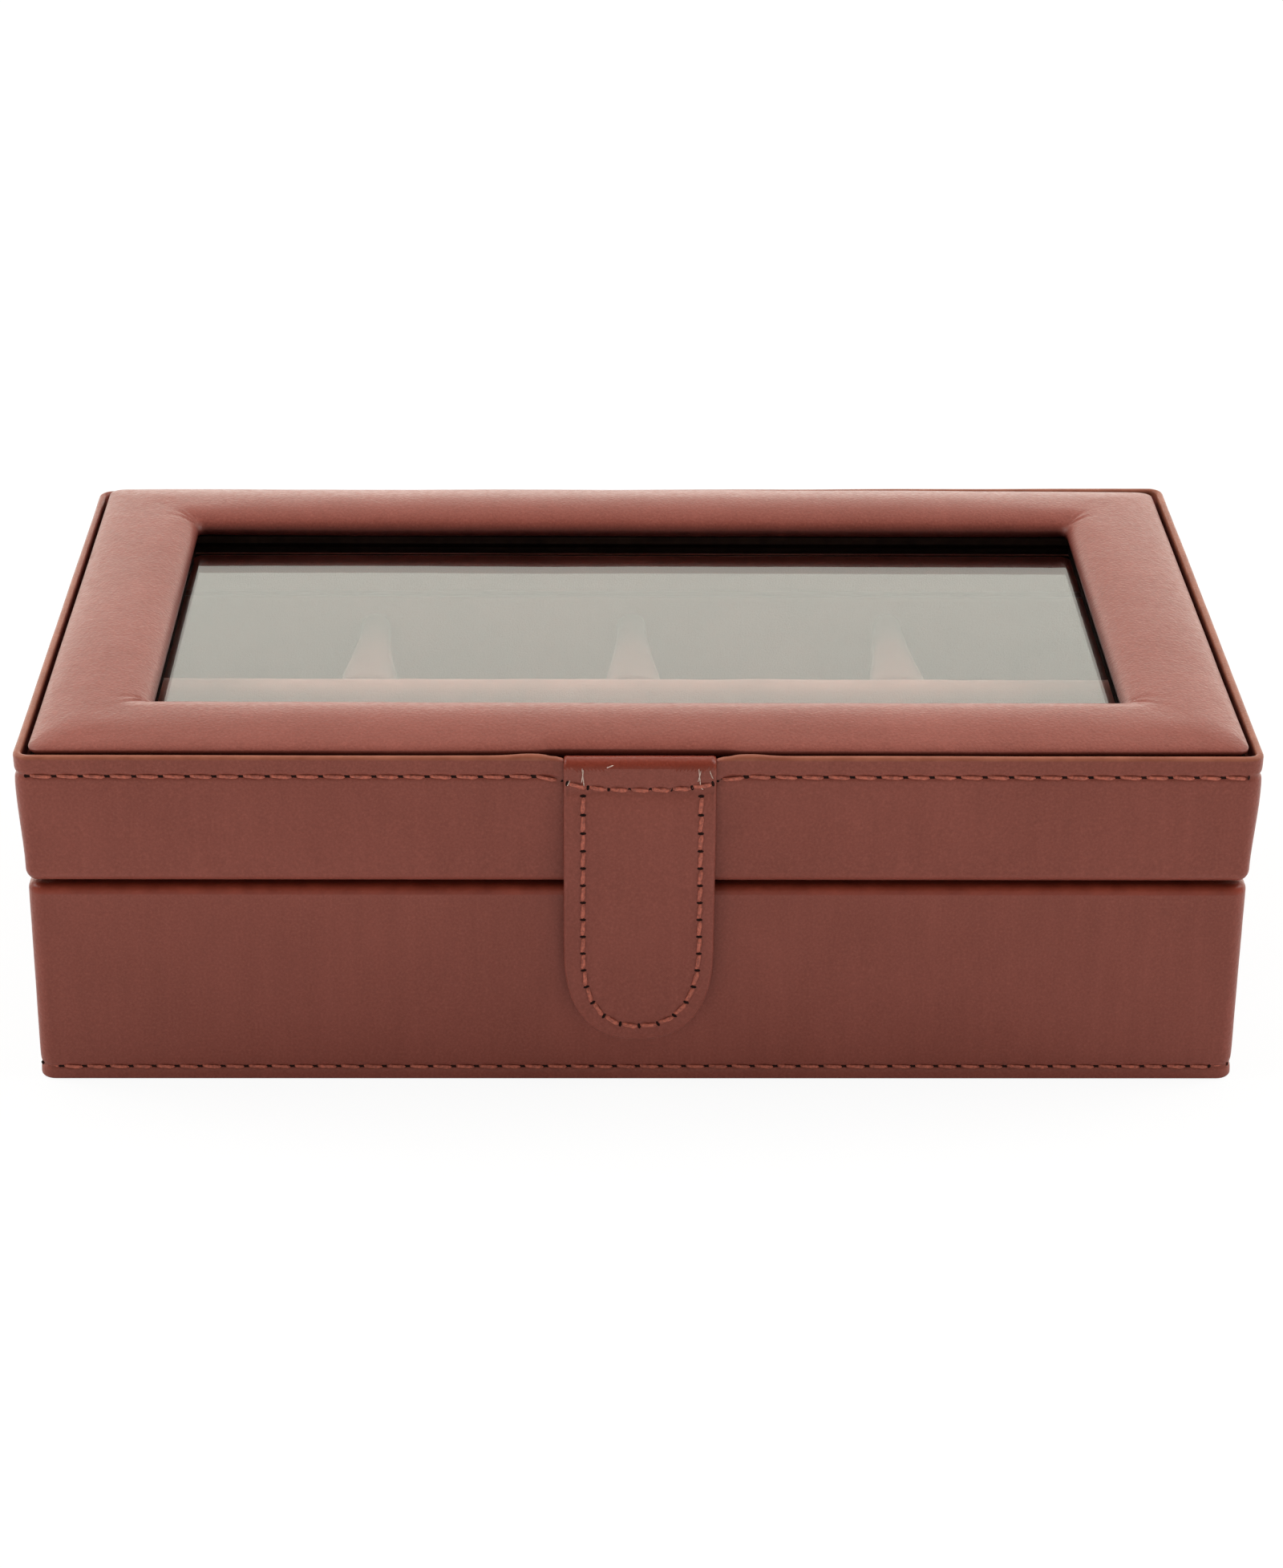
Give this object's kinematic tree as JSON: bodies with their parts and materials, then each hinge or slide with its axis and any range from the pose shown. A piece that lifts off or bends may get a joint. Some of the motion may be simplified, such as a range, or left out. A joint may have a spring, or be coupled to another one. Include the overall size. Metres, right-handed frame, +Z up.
{
  "type": "cufflink box",
  "caption": "Leather-covered cufflink box with a divided tray and a hinged lid whose padded frame holds a glass pane, closed by a magnetic leather tab.",
  "frame": {"origin": "centre of the underside, on the surface that the box stands on", "axes": "+X to the box's right seen from the front, -Y to the front where the tab hangs, +Z up"},
  "size_m": [0.184, 0.1154, 0.0566],
  "materials": {
    "brown_leather": "semi-gloss grained",
    "velour": "short pile",
    "underside_felt": "felt",
    "case_board": "raw board",
    "pad_foam": "foam",
    "clear_glass": "polished",
    "brass": "polished",
    "magnet_steel": "plated"
  },
  "bodies": {
    "base": {"base_front_board": "case_board", "base_back_board": "case_board", "base_left_board": "case_board", "base_right_board": "case_board", "base_floor_board": "case_board", "base_leather_wrap": "brown_leather", "base_underside_cover": "underside_felt", "base_magnet": "magnet_steel", "base_floor_lining": "velour", "base_front_liner": "velour", "base_back_liner": "velour", "base_left_liner": "velour", "base_right_liner": "velour", "divider_long_front": "velour", "divider_long_rear": "velour", "divider_cross_left": "velour", "divider_cross_centre": "velour", "divider_cross_right": "velour", "hinge_left_base_leaf": "brass", "hinge_left_pin": "brass", "hinge_right_base_leaf": "brass", "hinge_right_pin": "brass", "hinge_base_screws": "brass"},
    "lid": {"hinge_left_lid_leaf": "brass", "hinge_right_lid_leaf": "brass", "hinge_lid_screws": "brass", "lid_front_board": "case_board", "lid_back_board": "case_board", "lid_left_board": "case_board", "lid_right_board": "case_board", "lid_top_board": "case_board", "lid_side_wrap": "brown_leather", "lid_rim_welt": "brown_leather", "pad_cover": "brown_leather", "pad_foam": "pad_foam", "pad_core_card": "case_board", "glass_pane": "clear_glass", "lid_top_lining": "velour", "lid_front_liner": "velour", "lid_back_liner": "velour", "lid_left_liner": "velour", "lid_right_liner": "velour", "tab_anchor": "brown_leather"},
    "tab": {"tab_outer_ply": "brown_leather", "tab_inner_ply": "brown_leather", "tab_magnet": "magnet_steel"}
  },
  "joints": [
    {"name": "lid_hinge", "type": "hinge", "parent": "base", "child": "lid", "pos_m": [0, 0.05615, 0.03325], "axis": [-1, 0, 0], "range_deg": [0, 100]},
    {"name": "tab_flip", "type": "hinge", "parent": "lid", "child": "tab", "pos_m": [0, -0.05675, 0.049], "axis": [-1, 0, 0], "range_deg": [0, 110]}
  ]
}
